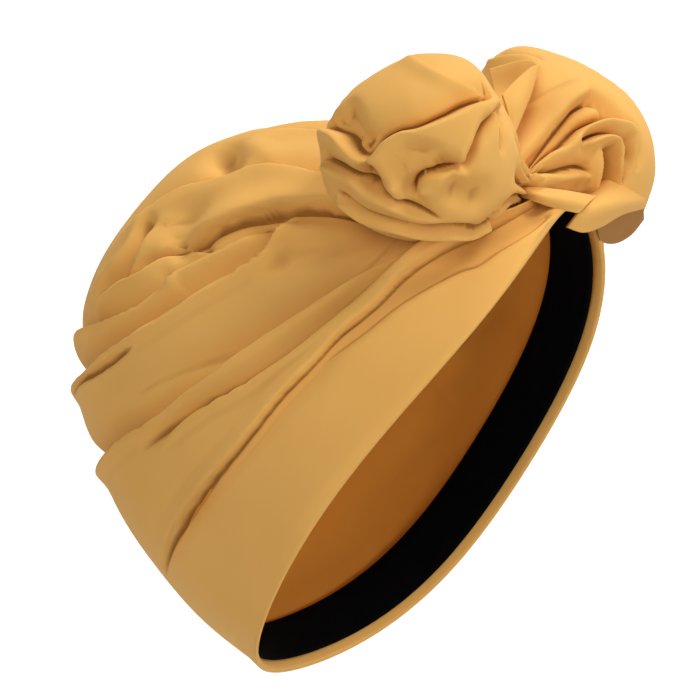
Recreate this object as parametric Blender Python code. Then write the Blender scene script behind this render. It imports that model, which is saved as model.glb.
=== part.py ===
"""A turban headwrap: a pleated cloth crown, hollow and open at the rim, with a stretch band sewn inside the
rim and a knot of two gathered cloth puffs, a folded tuck and a wrap at the forehead.

Metres, +Z up, -Y towards the wearer's face, +X towards the wearer's left. The origin is the middle of the
opening that the head goes into. The rim slopes from the forehead down to the nape.
"""

import math

import bmesh
import bpy
import numpy as np
from mathutils import Vector
from mathutils.bvhtree import BVHTree

# Crown block: the outside of the plain crown, without its folds
CROWN_LENGTH = 0.200
CROWN_WIDTH = 0.160
CROWN_HEIGHT = 0.1395
CROWN_SETBACK = 0.004
RIM_SLOPE = math.radians(56.5)
SIDE_DIP = 0.0095
SIDE_DIP_FORWARD = -0.0055
CORNER_DIP = 0.003

# Shape factors of the crown block: how egg-shaped the rim is, how square the shoulders are
EGG_SHARE = 0.26
WALL_ROUNDNESS = 0.79
RISE_ROUNDNESS = 1.17
WALL_BULGE = 0.0145

# Cloth and folds
CLOTH = 0.0018
FOLD_DEPTH = 0.0034
KNOT_SHARE = 0.80
MEETING_SHARE = 0.50

# Stretch band inside the rim
BAND_WIDTH = 0.027
BAND_THICKNESS = 0.0016
BAND_INSET = 0.0032
SEAM_GAP = 0.0008
BAND_ROWS = 4

# How deep a crease may go over the band, a share of FOLD_DEPTH, and the climbs between which it is let go
BAND_CREASE = 0.2
FREE_CLIMB = (0.20, 0.28)

# Knot: two puffs, the tuck between them and the wrap under them
PUFF_RADIUS = 0.0330
CEILING = 0.0026
SEAT_GAP = 0.0009
TUCK_LENGTH = 0.027
TUCK_MOUTH = 0.0080
TUCK_LEAN = math.radians(-6.0)
TUCK_PLACE = (-0.05, 0.86)
WRAP_WIDTH = 0.020
WRAP_THICKNESS = 0.0050
WRAP_ACROSS = (-0.18, -0.05, 0.09)
WRAP_FORWARD = (0.84, 0.86, 0.86)

# Mesh fineness
CROWN_COLUMNS = 50
PUFF_RINGS = 22
PUFF_SECTORS = 32
WRAP_RINGS = 18
WRAP_SECTORS = 14

CLOTH_COLOUR = (0.78, 0.47, 0.13, 1.0)
BAND_COLOUR = (0.008, 0.008, 0.009, 1.0)

# Directions of the sloping rim: across the head, towards the forehead, up into the crown
ACROSS = np.array([1.0, 0.0, 0.0])
FORWARD = np.array([0.0, -math.cos(RIM_SLOPE), math.sin(RIM_SLOPE)])
INTO_CROWN = np.array([0.0, math.sin(RIM_SLOPE), math.cos(RIM_SLOPE)])

# Where the pleat table gives its values: shares of the way round from the knot to the back of the head
STATIONS = (0.0, 0.25, 0.5, 0.75, 1.0)

# Pleat lines from the rim to the top. ring: 0 at the rim, 1 where both sides meet behind the knot.
# lift: shares of FOLD_DEPTH, outwards positive. Both have one value for each station.
PLEATS = (
    # name            ring at the stations                lift at the stations
    ("rim_edge",     (0.00, 0.000, 0.000, 0.000, 0.000), (0.0, 0.0, 0.0, 0.0, 0.0)),
    ("hem_line",     (0.03, 0.060, 0.080, 0.055, 0.050), (0.0, 0.1, 0.1, 0.1, 0.1)),
    ("rim_dimple",   (0.07, 0.135, 0.165, 0.110, 0.100), (-0.1, -0.45, -0.1, 0.0, 0.0)),
    ("rim_panel",    (0.12, 0.190, 0.188, 0.150, 0.140), (0.1, 0.25, 0.15, 0.1, 0.1)),
    ("low_crease",   (0.16, 0.236, 0.207, 0.180, 0.175), (-0.4, -0.8, -0.8, -0.4, -0.1)),
    ("low_ridge",    (0.19, 0.256, 0.226, 0.208, 0.205), (0.3, 0.6, 0.55, 0.25, 0.15)),
    ("groove_foot",  (0.21, 0.274, 0.243, 0.250, 0.245), (0.2, 0.35, 0.25, 0.0, 0.0)),
    ("groove",       (0.23, 0.306, 0.284, 0.304, 0.330), (-0.3, -0.5, -0.75, -0.55, -0.3)),
    ("side_lip",     (0.24, 0.316, 0.294, 0.318, 0.345), (0.3, 0.5, 0.6, 0.6, 0.4)),
    ("side_panel",   (0.28, 0.345, 0.345, 0.370, 0.395), (0.1, 0.3, 0.35, 0.25, 0.2)),
    ("rear_lip",     (0.31, 0.370, 0.440, 0.424, 0.445), (0.1, 0.1, 0.0, 0.6, 0.4)),
    ("rear_groove",  (0.32, 0.385, 0.462, 0.440, 0.460), (0.0, -0.1, -0.1, -0.85, -0.5)),
    ("rear_ridge",   (0.33, 0.400, 0.480, 0.474, 0.490), (0.1, 0.1, 0.0, 0.4, 0.3)),
    ("high_groove",  (0.35, 0.418, 0.508, 0.505, 0.515), (-0.3, -0.5, -0.95, -0.6, -0.4)),
    ("high_lip",     (0.36, 0.430, 0.523, 0.528, 0.535), (0.3, 0.5, 0.7, 0.45, 0.35)),
    ("high_panel",   (0.45, 0.520, 0.590, 0.590, 0.590), (0.2, 0.3, 0.35, 0.15, 0.1)),
    ("top_lip",      (0.55, 0.605, 0.645, 0.648, 0.640), (0.2, 0.3, 0.5, 0.4, 0.3)),
    ("top_groove",   (0.57, 0.620, 0.664, 0.665, 0.655), (-0.2, -0.3, -0.6, -0.5, -0.3)),
    ("top_panel",    (0.66, 0.720, 0.750, 0.745, 0.740), (0.1, 0.15, 0.1, 0.15, 0.1)),
    ("crest_groove", (0.78, 0.810, 0.830, 0.820, 0.815), (-0.1, -0.2, -0.25, -0.2, -0.15)),
    ("crest_panel",  (0.90, 0.910, 0.915, 0.910, 0.905), (0.1, 0.1, 0.1, 0.1, 0.1)),
)

# The side that the puffs turn to someone who looks at the wearer's right temple from a little in front
LOOK_TURN = math.radians(24.0)
LOOK_FROM = np.array([-math.cos(LOOK_TURN), -math.sin(LOOK_TURN), 0.0])
LOOK_RIGHT = np.array([math.sin(LOOK_TURN), -math.cos(LOOK_TURN), 0.0])
LOOK_UP = np.array([0.0, 0.0, 1.0])

# Folds of the puffs. Places are shares of PUFF_RADIUS across and up as seen from LOOK_FROM, and lifts are
# shares of FOLD_DEPTH to the left and right of the line. A far fold lies on the side turned away.
RIGHT_FOLDS = (
    # from            through          to               left   right  width  far
    ((0.76, 0.44),   (0.30, 0.72),    (-0.10, 0.86),    0.7,  -0.3,   0.20, False),
    ((0.78, 0.40),   (0.10, 0.20),    (-0.55, -0.18),  -0.8,   0.9,   0.16, False),
    ((-0.95, 0.14),  (-0.75, 0.00),   (-0.55, -0.18),   0.9,  -0.4,   0.14, False),
    ((-0.90, -0.28), (-0.62, -0.48),  (-0.35, -0.60),   0.8,  -0.7,   0.16, False),
    ((0.70, 0.22),   (0.55, -0.10),   (0.42, -0.28),    0.4,  -0.9,   0.12, False),
    ((0.38, -0.18),  (0.14, -0.34),   (0.00, -0.58),   -0.9,   0.7,   0.15, False),
    ((0.68, -0.62),  (0.60, -0.60),   (0.50, -0.58),   -0.9,  -0.9,   0.20, False),
    ((-0.80, -0.60), (-0.05, -0.92),  (0.80, -0.84),    0.5,  -0.9,   0.10, False),
    ((0.60, 0.10),   (0.20, -0.50),   (-0.40, -0.75),  -0.8,   0.6,   0.18, True),
    ((0.50, 0.45),   (0.00, 0.30),    (-0.60, 0.10),   -0.8,   0.6,   0.18, True),
)
LEFT_FOLDS = (
    ((-0.48, -0.30), (0.00, 0.00),    (0.44, 0.20),     0.7,  -0.9,   0.14, False),
    ((-0.46, -0.46), (-0.10, -0.10),  (0.18, 0.08),     0.7,  -0.8,   0.12, False),
    ((0.06, -0.08),  (0.38, 0.06),    (0.70, 0.02),     0.7,  -0.9,   0.10, False),
    ((-0.46, -0.38), (-0.10, -0.36),  (0.26, -0.36),    0.7,  -0.8,   0.12, False),
    ((0.50, -0.14),  (0.48, -0.34),   (0.40, -0.66),    0.8,  -0.9,   0.12, False),
    ((0.72, 0.00),   (0.80, -0.30),   (0.82, -0.60),   -0.8,   0.7,   0.12, False),
    ((-0.36, -0.58), (-0.05, -0.60),  (0.36, -0.68),    0.6,  -0.8,   0.10, False),
    ((0.90, -0.78),  (0.58, -0.86),   (0.38, -1.00),    0.7,  -0.8,   0.12, False),
    ((0.60, 0.10),   (0.20, -0.50),   (-0.40, -0.75),  -0.8,   0.6,   0.18, True),
    ((0.50, 0.45),   (0.00, 0.30),    (-0.60, 0.10),   -0.8,   0.6,   0.18, True),
)

# Outline of a puff as seen from LOOK_FROM: its reach, a share of PUFF_RADIUS, at twelve even directions
# from the right hand round over the top
RIGHT_OUTLINE = (1.03, 0.94, 1.03, 0.93, 0.86, 0.90, 1.06, 1.07, 1.01, 1.01, 1.18, 1.16)
LEFT_OUTLINE = (0.99, 0.84, 0.78, 0.89, 1.15, 1.10, 0.80, 0.75, 0.72, 0.85, 1.25, 1.15)

PUFFS = (
    # name          across  forward  out    towards, away  outline        folds
    ("right_puff", -0.42,   0.635,   0.709, (0.95, 1.25),  RIGHT_OUTLINE, RIGHT_FOLDS),
    ("left_puff",   0.37,   0.72,    0.839, (1.20, 0.95),  LEFT_OUTLINE,  LEFT_FOLDS),
)


def through(places, values, at, level_ends=True):
    """A smooth curve through values at places, read at the numbers in at."""
    places, values = np.array(places), np.array(values)
    slopes = np.gradient(values, places)
    if level_ends:
        slopes[0] = slopes[-1] = 0.0
    k = np.clip(np.searchsorted(places, at, side="right") - 1, 0, len(places) - 2)
    step = places[k + 1] - places[k]
    t = (at - places[k]) / step
    rise = t * t * (3 - 2 * t)
    return (values[k] * (1 - rise) + values[k + 1] * rise
            + step * (slopes[k] * t * (1 - t) ** 2 - slopes[k + 1] * t * t * (1 - t)))


def smooth_step(low, high, at):
    """0 below low, 1 above high and a smooth rise between them."""
    t = np.clip((at - low) / (high - low), 0.0, 1.0)
    return t * t * (3 - 2 * t)


def unit(vectors):
    """The vectors at length one."""
    return vectors / np.linalg.norm(vectors, axis=-1, keepdims=True)


def rim_height(angle):
    """How far the rim stands from the plane through its forehead and nape points."""
    side = np.sin(angle) ** 2
    return (-SIDE_DIP * side + SIDE_DIP_FORWARD * side * np.cos(angle)
            - CORNER_DIP * np.sin(2 * angle) ** 2)


def crown_block(angle, climb):
    """A point of the plain crown: angle round from the forehead, climb 0 at the rim and 1 at the top."""
    arc = climb * math.pi / 2
    reach = np.cos(arc) ** WALL_ROUNDNESS
    rise = np.sin(arc) ** RISE_ROUNDNESS
    bulge = 1 + WALL_BULGE * np.sin(2 * arc)
    across = CROWN_WIDTH / 2 * reach * np.sin(angle) * (1 - EGG_SHARE * np.cos(angle) * reach) * bulge
    forward = CROWN_LENGTH / 2 * reach * np.cos(angle) * bulge - CROWN_SETBACK * rise
    height = CROWN_HEIGHT * rise + rim_height(angle) * (1 - rise)
    return (across[..., None] * ACROSS + forward[..., None] * FORWARD
            + height[..., None] * INTO_CROWN)


def on_chart(across, forward):
    """A point of the plain crown from its place on a flat round chart: rim at radius 1, top at the middle."""
    radius = np.clip(np.hypot(across, forward), 0.0, 1.0)
    return crown_block(np.arctan2(across, forward), 1 - radius)


def outward(across, forward):
    """The plain crown's outward direction at a place on the chart."""
    step = 1e-4
    along_x = on_chart(across + step, forward) - on_chart(across - step, forward)
    along_y = on_chart(across, forward + step) - on_chart(across, forward - step)
    return unit(np.cross(along_y, along_x))


def ring_place(turn, ring):
    """Chart place on a pleat line: turn runs from -pi to pi with 0 at the knot, ring from 0 to 1."""
    middle = (KNOT_SHARE + MEETING_SHARE) / 2 * ring
    reach = 1 - ring + ring * (KNOT_SHARE - MEETING_SHARE) / 2
    return (1 - ring) * np.sin(turn), middle + reach * np.cos(turn)


def lifted(turn, ring, lift):
    """A point over the plain crown by the distance lift."""
    across, forward = ring_place(turn, ring)
    inside = 1 - 2e-4
    away = outward(across * inside, forward * inside)
    return on_chart(across, forward) + away * np.asarray(lift)[..., None]


def pleated_rows(turns):
    """The rings of cloth from the top to the rim outside and back to the top inside, as arrays of points.

    Where the band is sewn, creases are held shallow and the inside runs smooth.
    """
    way_round = np.abs(turns) / math.pi
    outside = []
    inside = []
    for _, rings, lifts in PLEATS:
        ring = through(STATIONS, rings, way_round)
        lift = through(STATIONS, lifts, way_round)
        free = smooth_step(*FREE_CLIMB, 1 - np.hypot(*ring_place(turns, ring)))
        lift = np.maximum(lift, -BAND_CREASE - free * (1 - BAND_CREASE))
        hidden = np.minimum(lift, -BAND_CREASE + 2 * free)
        outside.append(lifted(turns, ring, lift * FOLD_DEPTH))
        inside.append(lifted(turns, ring, hidden * FOLD_DEPTH - CLOTH))
    top = np.ones_like(turns)
    return ([lifted(turns, top, 0 * turns)] + outside[::-1]
            + inside + [lifted(turns, top, 0 * turns - BAND_CREASE * FOLD_DEPTH - CLOTH)])


def new_object(name, mesh, material):
    """An object in the headwrap's collection."""
    obj = bpy.data.objects.new(name, mesh)
    mesh.materials.append(material)
    mesh.shade_smooth()
    bpy.data.collections["turban_headwrap"].objects.link(obj)
    return obj


def skin_rings(rings, closed_on=False, capped=False):
    """Lofts a skin through closed rings of equal length.

    closed_on joins the last ring to the first. capped closes both ends with a fan round their middle.
    """
    skin = bmesh.new()
    made = [[skin.verts.new(point) for point in ring] for ring in rings]
    pairs = list(zip(made, made[1:]))
    if closed_on:
        pairs.append((made[-1], made[0]))
    for upper, lower in pairs:
        for k in range(len(upper)):
            skin.faces.new((upper[k - 1], upper[k], lower[k], lower[k - 1]))
    if capped:
        for end in (made[0], made[-1]):
            tip = skin.verts.new(sum((v.co for v in end), Vector()) / len(end))
            for k in range(len(end)):
                skin.faces.new((end[k - 1], end[k], tip))
    return skin


def finish_mesh(name, skin, material):
    """Welds the skin, turns its faces outwards and makes the object."""
    bmesh.ops.remove_doubles(skin, verts=skin.verts, dist=1e-6)
    bmesh.ops.recalc_face_normals(skin, faces=skin.faces)
    mesh = bpy.data.meshes.new(name)
    skin.to_mesh(mesh)
    skin.free()
    return new_object(name, mesh, material)


def cloth_material(name, colour, roughness):
    """A plain woven finish."""
    material = bpy.data.materials.new(name)
    material.use_nodes = True
    shader = material.node_tree.nodes["Principled BSDF"]
    shader.inputs["Base Color"].default_value = colour
    shader.inputs["Roughness"].default_value = roughness
    shader.inputs["Metallic"].default_value = 0.0
    return material


def round_turns(count):
    """Even turns once round the crown."""
    return np.linspace(-math.pi, math.pi, count, endpoint=False)


def make_crown(material):
    """The pleated cap, one hollow piece of cloth, open at the rim."""
    return finish_mesh("crown", skin_rings(pleated_rows(round_turns(CROWN_COLUMNS))), material)


def ring_at_depth(turn, depth):
    """The ring at which the line of one turn has gone the length depth up from the rim."""
    climbs = np.linspace(0.0, 0.4, 81)
    line = crown_block(np.full_like(climbs, turn), climbs)
    run = np.concatenate([[0.0], np.cumsum(np.linalg.norm(np.diff(line, axis=0), axis=1))])
    climb = np.interp(depth, run, climbs)
    rings = np.linspace(0.0, 1.0, 201)
    return np.interp(climb, 1 - np.hypot(*ring_place(turn, rings)), rings)


def make_band(material):
    """The stretch band: a flat strip inside the crown, all round and a little above the rim."""
    turns = round_turns(CROWN_COLUMNS)
    outer_side = CLOTH + BAND_CREASE * FOLD_DEPTH + SEAM_GAP
    depths = BAND_INSET + BAND_WIDTH * np.linspace(0.0, 1.0, BAND_ROWS + 1)
    places = [np.array([ring_at_depth(turn, depth) for turn in turns]) for depth in depths]
    outer = [lifted(turns, ring, 0 * turns - outer_side) for ring in places]
    inner = [lifted(turns, ring, 0 * turns - outer_side - BAND_THICKNESS) for ring in places]
    return finish_mesh("inner_band", skin_rings(outer + inner[::-1], closed_on=True), material)


def skin_tree(rings):
    """A search tree over the skin through some rings."""
    skin = skin_rings(rings, capped=True)
    tree = BVHTree.FromBMesh(skin)
    skin.free()
    return tree


def ceiling_rings():
    """A smooth surface that just clears the crown's highest folds."""
    turns = round_turns(CROWN_COLUMNS)
    return [lifted(turns, np.full_like(turns, ring), 0 * turns + CEILING) for ring in np.linspace(0, 1, 16)]


def reach_to(trees, centre, directions, limit):
    """How far each direction runs from the centre before it meets a tree's surface, at most its limit."""
    reach = np.array(limit)
    for k, direction in enumerate(directions):
        for tree in trees:
            distance = tree.ray_cast(Vector(centre), Vector(direction), reach[k] + SEAT_GAP)[3]
            if distance is not None:
                reach[k] = distance - SEAT_GAP
    return reach


def outline_reach(outline, spin):
    """A puff's reach in a direction spin round from the right hand, a share of PUFF_RADIUS."""
    step = 2 * math.pi / len(outline)
    places = step * np.arange(-2, len(outline) + 3)
    return through(places, outline[-2:] + outline + outline[:3], np.mod(spin, 2 * math.pi), False)


def fold_line(fold, outline, bulk):
    """Directions from a puff's middle to points along a fold."""
    start, middle, end, _, _, _, far = fold
    t = np.linspace(0.0, 1.0, 13)[:, None]
    flat = (1 - t) * (1 - 2 * t) * np.array(start) + 4 * t * (1 - t) * np.array(middle) + (
        t * (2 * t - 1) * np.array(end))
    share = np.hypot(*flat.T) / outline_reach(outline, np.arctan2(flat[:, 1], flat[:, 0]))
    height = np.sqrt(np.clip(1 - share ** 2, 0.02, 1.0)) * (-bulk[1] if far else bulk[0])
    return unit(flat[:, :1] * LOOK_RIGHT + flat[:, 1:] * LOOK_UP + height[:, None] * LOOK_FROM)


def fold_lift(directions, folds, outline, bulk):
    """How far the folds lift a puff's skin along each direction from its middle, in FOLD_DEPTHs."""
    lift = np.zeros(len(directions))
    for fold in folds:
        left, right, width = fold[3:6]
        line = fold_line(fold, outline, bulk)
        closeness = directions @ line.T
        nearest = closeness.argmax(1)
        distance = np.arccos(np.clip(closeness.max(1), -1, 1))
        ahead = np.gradient(line, axis=0)[nearest]
        side = np.einsum("ij,ij->i", np.cross(line[nearest], ahead), directions)
        blend = 0.5 + 0.5 * np.tanh(np.sign(side) * distance / (0.3 * width))
        lift += (left * blend + right * (1 - blend)) * np.exp(-distance / width)
    return lift


def make_puff(puff, trees, material):
    """A gathered puff of wound cloth, seated on the crown."""
    name, across, forward, out, bulk, outline, folds = puff
    place = np.array(across), np.array(forward)
    centre = on_chart(*place) + out * PUFF_RADIUS * outward(*place)
    polar = np.linspace(0.0, math.pi, PUFF_RINGS + 2)[1:-1, None]
    spin = round_turns(PUFF_SECTORS)[None, :]
    flat = np.sin(polar)[..., None] * (np.cos(spin)[..., None] * LOOK_RIGHT
                                       + np.sin(spin)[..., None] * LOOK_UP)
    directions = flat + np.cos(polar)[..., None] * LOOK_FROM
    thickness = np.where(np.cos(polar) > 0, *bulk)
    radius = 1 / np.hypot(np.sin(polar) / outline_reach(outline, spin), np.cos(polar) / thickness)
    directions = directions.reshape(-1, 3)
    lift = fold_lift(directions, folds, outline, bulk)
    reach = reach_to(trees, centre, directions, PUFF_RADIUS * radius.ravel() + FOLD_DEPTH * lift)
    rings = (centre + reach[:, None] * directions).reshape(*radius.shape, 3)
    return finish_mesh(name, skin_rings(rings, capped=True), material)


def wrap_rings(margin):
    """The rings of a flat gathered roll that lies along the front of the crown, grown by a margin."""
    share = np.linspace(0.02, 0.98, WRAP_RINGS)
    across = through((0.0, 0.5, 1.0), WRAP_ACROSS, share, False)
    forward = through((0.0, 0.5, 1.0), WRAP_FORWARD, share, False)
    ahead = unit(np.stack([np.gradient(across), np.gradient(forward)], 1))
    half = (WRAP_WIDTH / 2 + margin) / (CROWN_LENGTH / 2) * np.sqrt(1 - (2 * share - 1) ** 4)
    spin = round_turns(WRAP_SECTORS)
    rise = np.maximum(np.sin(spin), 0.0) * (1 - 0.3 * np.cos(3 * spin) ** 2)
    height = CEILING + SEAT_GAP + (WRAP_THICKNESS + margin) * rise
    rings = []
    for k in range(WRAP_RINGS):
        side = half[k] * np.cos(spin)
        place = across[k] - side * ahead[k, 1], forward[k] + side * ahead[k, 0]
        rings.append(on_chart(*place) + height[:, None] * outward(*place))
    return rings


def make_tuck(material):
    """The tuck: a small pocket of folded cloth that stands open between the puffs."""
    place = np.array(TUCK_PLACE[0]), np.array(TUCK_PLACE[1])
    foot = on_chart(*place) + (CEILING + WRAP_THICKNESS + 1.5 * SEAT_GAP) * outward(*place)
    up = np.array([0.0, -math.sin(TUCK_LEAN), math.cos(TUCK_LEAN)])
    wide = unit(np.cross(up, LOOK_FROM))
    deep = np.cross(wide, up)
    spin = round_turns(WRAP_SECTORS)
    circle = np.cos(spin)[:, None] * wide + 0.8 * np.sin(spin)[:, None] * deep
    profile = ((0.0, 0.25), (0.3, 0.5), (0.7, 0.85), (0.95, 1.0), (1.0, 0.88), (0.85, 0.7), (0.55, 0.35))
    rings = [foot + TUCK_LENGTH * height * up + TUCK_MOUTH * reach * circle for height, reach in profile]
    return finish_mesh("knot_tuck", skin_rings(rings, capped=True), material)


def make_headwrap():
    """Builds every piece in one collection."""
    for obj in list(bpy.data.objects):
        bpy.data.objects.remove(obj)
    collection = bpy.data.collections.new("turban_headwrap")
    bpy.context.scene.collection.children.link(collection)
    cloth = cloth_material("mustard_cloth", CLOTH_COLOUR, 0.75)
    velvet = cloth_material("black_stretch_band", BAND_COLOUR, 0.9)
    make_crown(cloth)
    make_band(velvet)
    finish_mesh("knot_wrap", skin_rings(wrap_rings(0.0), capped=True), cloth)
    make_tuck(cloth)
    trees = skin_tree(ceiling_rings()), skin_tree(wrap_rings(2 * SEAT_GAP))
    for puff in PUFFS:
        make_puff(puff, trees, cloth)


make_headwrap()
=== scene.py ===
"""Dresses the turban headwrap: pleated mustard cloth, a black stretch band in the rim and a gathered knot.

Metres, +Z up, -Y towards the wearer's face, +X towards the wearer's left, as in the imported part.
"""

import math

import bmesh
import bpy
import numpy as np
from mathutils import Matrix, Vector
from mathutils.bvhtree import BVHTree


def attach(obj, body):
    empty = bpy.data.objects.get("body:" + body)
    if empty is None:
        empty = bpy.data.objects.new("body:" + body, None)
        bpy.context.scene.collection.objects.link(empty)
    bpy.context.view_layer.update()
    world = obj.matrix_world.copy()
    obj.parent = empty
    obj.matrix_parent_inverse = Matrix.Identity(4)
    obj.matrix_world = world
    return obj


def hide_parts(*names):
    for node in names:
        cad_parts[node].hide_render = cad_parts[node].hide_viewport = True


MM = 0.001

# Crown block, as in the solids
CROWN_LENGTH = 0.200
CROWN_WIDTH = 0.160
CROWN_HEIGHT = 0.1395
CROWN_SETBACK = 0.004
RIM_SLOPE = math.radians(56.5)
SIDE_DIP = 0.0095
SIDE_DIP_FORWARD = -0.0055
CORNER_DIP = 0.003
EGG_SHARE = 0.26
WALL_ROUNDNESS = 0.79
RISE_ROUNDNESS = 1.17
WALL_BULGE = 0.0145
KNOT_SHARE = 0.80
MEETING_SHARE = 0.50

# On the chart: half the distance between the points that give a direction, and the share by which they stay
# inside its edge
CHART_STEP = 1e-4
CHART_EDGE = 2e-4

# The cap's cloth and its rolled hem. HEM_RINGS: the ring up to which the folds grow from the plain hem.
# ROLL_CLIMB: the climb whose distance from the rim gives the way out of the opening
CLOTH = 0.0016
HEM_DEPTH = 0.0024
HEM_ROLL = 0.0008
HEM_RINGS = 0.03
ROLL_CLIMB = 0.02

# The band, at the width that the photo shows, which is less than its solid's. Its edges thin out with this
# power, down to this share. BAND_CLIMB: the climb up to which its depth is measured
BAND_WIDTH = 0.019
BAND_THICKNESS = 0.0014
BAND_INSET = 0.0032
BAND_OUTER_SIDE = 0.0033
BAND_EDGE_POWER = 8
BAND_EDGE_LEAST = 0.15
BAND_CLIMB = 0.4

# The thin crease under the edge of a lap, in millimetres. GROOVE_STEPS: the difference in height between a
# fold's two sides from which there is a crease, and from which it has its full depth
GROOVE_DEPTH = 1.7
GROOVE_PLACE = 0.5
GROOVE_WIDTH = 0.75
GROOVE_STEPS = (1.5, 4.0)

# How wide a lap is: so many times its edge, and some millimetres more
LAP_EDGES = 2.5
LAP_MORE = 0.8

# Where a fold fades at its end, in shares of the fade's length, negative beyond the end
FADE_SPAN = (-0.3, 0.7)
# How much a surface has to face the way a fold does, as a cosine, for the fold to show there and to be full
FACING_SPAN = (0.0, 0.4)
# How many times its width a fold reaches at most
FOLD_REACH = 4

# How deep the crown's folds may go, in metres, over the band and above it, how softly they stop there, and
# how far its inside lies under the cloth. BAND_ZONE: the climbs between which the one depth passes into the
# other. INSIDE_START: the first ring of the inside. INSIDE_SOFTNESS: how much softer its steps are
DEEPEST_AT_BAND = 0.0016
DEEPEST_ABOVE = 0.0085
FLOOR_ROUNDING = 0.0006
INSIDE_GAP = 0.0044
BAND_ZONE = (0.19, 0.28)
INSIDE_START = 0.004
INSIDE_SOFTNESS = 2.0

# How many times as high as in their tables the folds are
CROWN_FOLD_SCALE = 1.3
PUFF_FOLD_SCALE = 1.3

# Folds that reach the back run this far past it, and the two sides blend over BACK_BLEND metres
PAST_BACK = 1.04
BACK_BLEND = 0.003
# The folds on the left wander a little, so that they aren't the right ones mirrored
WANDER = 0.006
WANDER_WAVES = 9
WANDER_START = 2

PUFF_RADIUS = 0.0330
# How far a puff's first and last rings lie from its poles, in radians
PUFF_POLE = 0.002
SEAT_GAP = 0.0005
# Between these cosines from its middle a puff passes from the one thickness to the other
BULK_BLEND = (-0.6, 0.6)

STAGE_RADIUS = 2.6
STAGE_FLOOR = -0.85
STAGE_TOP = 2.6
STAGE_BEND = 0.6

# Mesh fineness
CROWN_COLUMNS = 510
INSIDE_ROWS = 26
PUFF_RINGS = 170
PUFF_SECTORS = 280
BAND_COLUMNS = 320
BAND_ROWS = 14
SHEET_ROWS = 60
SHEET_COLUMNS = 110
STAGE_SIDES = 96
STAGE_BEND_ROWS = 14
FOLD_POINTS = 160
CLIMB_STEPS = 81
RING_STEPS = 201

# Distances under which doubled points are welded
WELD = 1e-6
CROWN_WELD = 2e-5
PUFF_WELD = 1e-5
# Keeps a vector of no length from being divided by nothing
TINY = 1e-12

ACROSS = np.array([1.0, 0.0, 0.0])
FORWARD = np.array([0.0, -math.cos(RIM_SLOPE), math.sin(RIM_SLOPE)])
INTO_CROWN = np.array([0.0, math.sin(RIM_SLOPE), math.cos(RIM_SLOPE)])

# The photo's side: from the wearer's right temple, a little in front
LOOK_TURN = math.radians(24.0)
LOOK_RISE = math.radians(2.0)
LOOK_FROM = np.array([-math.cos(LOOK_TURN), -math.sin(LOOK_TURN), 0.0])
LOOK_RIGHT = np.array([math.sin(LOOK_TURN), -math.cos(LOOK_TURN), 0.0])
LOOK_UP = np.array([0.0, 0.0, 1.0])
VIEW_FROM = LOOK_FROM * math.cos(LOOK_RISE) + LOOK_UP * math.sin(LOOK_RISE)
VIEW_UP = LOOK_UP * math.cos(LOOK_RISE) - LOOK_FROM * math.sin(LOOK_RISE)
CAMERA_DISTANCE = 1.2
EYE = VIEW_FROM * CAMERA_DISTANCE
CAMERA_LENS = 175.2
CAMERA_SENSOR = 36.0
CAMERA_NEAR = 0.05
CAMERA_SHIFT = (-0.1171, 0.1304)

# Lines that the crown's mesh rows follow, at these shares of the way round from the knot to the back,
# and how many rows lie between each line and the next
STATIONS = (0.0, 0.25, 0.5, 0.75, 1.0)
ROW_LINES = (
    # ring at the stations                rows to the next
    ((0.00, 0.000, 0.000, 0.000, 0.000), 10),
    ((0.03, 0.060, 0.080, 0.055, 0.050), 10),
    ((0.07, 0.135, 0.155, 0.110, 0.100), 7),
    ((0.12, 0.190, 0.185, 0.150, 0.140), 7),
    ((0.18, 0.228, 0.202, 0.178, 0.172), 8),
    ((0.19, 0.256, 0.222, 0.208, 0.205), 6),
    ((0.21, 0.274, 0.243, 0.250, 0.245), 9),
    ((0.24, 0.306, 0.284, 0.304, 0.330), 6),
    ((0.25, 0.320, 0.297, 0.320, 0.345), 8),
    ((0.28, 0.345, 0.345, 0.370, 0.395), 13),
    ((0.31, 0.370, 0.440, 0.424, 0.445), 7),
    ((0.32, 0.385, 0.462, 0.440, 0.460), 7),
    ((0.33, 0.400, 0.490, 0.474, 0.490), 9),
    ((0.35, 0.418, 0.515, 0.512, 0.515), 6),
    ((0.36, 0.430, 0.530, 0.532, 0.535), 10),
    ((0.45, 0.520, 0.590, 0.590, 0.590), 9),
    ((0.55, 0.595, 0.635, 0.648, 0.640), 7),
    ((0.57, 0.615, 0.655, 0.668, 0.655), 9),
    ((0.66, 0.720, 0.750, 0.745, 0.740), 7),
    ((0.78, 0.810, 0.830, 0.820, 0.815), 6),
    ((0.90, 0.910, 0.915, 0.910, 0.905), 5),
    ((1.00, 1.000, 1.000, 1.000, 1.000), 0),
)

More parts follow.
